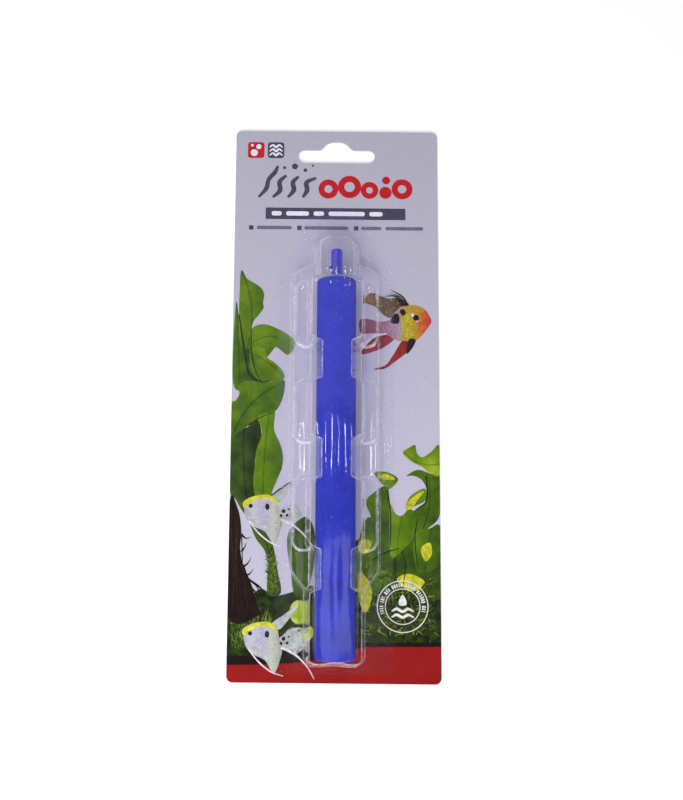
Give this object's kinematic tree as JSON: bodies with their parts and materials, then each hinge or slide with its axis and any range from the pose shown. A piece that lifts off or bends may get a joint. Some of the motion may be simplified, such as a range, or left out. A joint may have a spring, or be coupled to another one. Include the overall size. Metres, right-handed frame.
{
  "type": "air stone in blister pack",
  "caption": "Long cylindrical aquarium air stone with a push-on airline nozzle, held in a clear waisted blister sealed to a printed hanging card.",
  "frame": {"origin": "middle of the card's back face, which the pack lies on", "axes": "+Z out of the card's printed front, +Y along the stone towards the hanging slot, +X to the right seen from the front"},
  "size_m": [0.085, 0.228, 0.0172],
  "materials": {
    "printed_board": "gloss varnish on the front, plain grey board on the back",
    "clear_sheet": "clear gloss",
    "blue_stone": "fine matte grain",
    "blue_plastic": "moulded gloss",
    "resin": "cured resin, satin"
  },
  "bodies": {
    "card": {"backing_card": "printed_board"},
    "blister": {"blister": "clear_sheet"},
    "stone": {"stone_body": "blue_stone", "air_nozzle": "blue_plastic", "glue_ring": "resin"}
  },
  "joints": [
    {"name": "blister_lift", "type": "slide", "parent": "card", "child": "blister", "axis": [0, 0, 1], "range_m": [0, 0.12]},
    {"name": "stone_lift", "type": "slide", "parent": "card", "child": "stone", "axis": [0, 0, 1], "range_m": [0, 0.06]}
  ],
  "couplings": [
    {"joint": "stone_lift", "follows": "blister_lift", "ratio": 0.5}
  ]
}
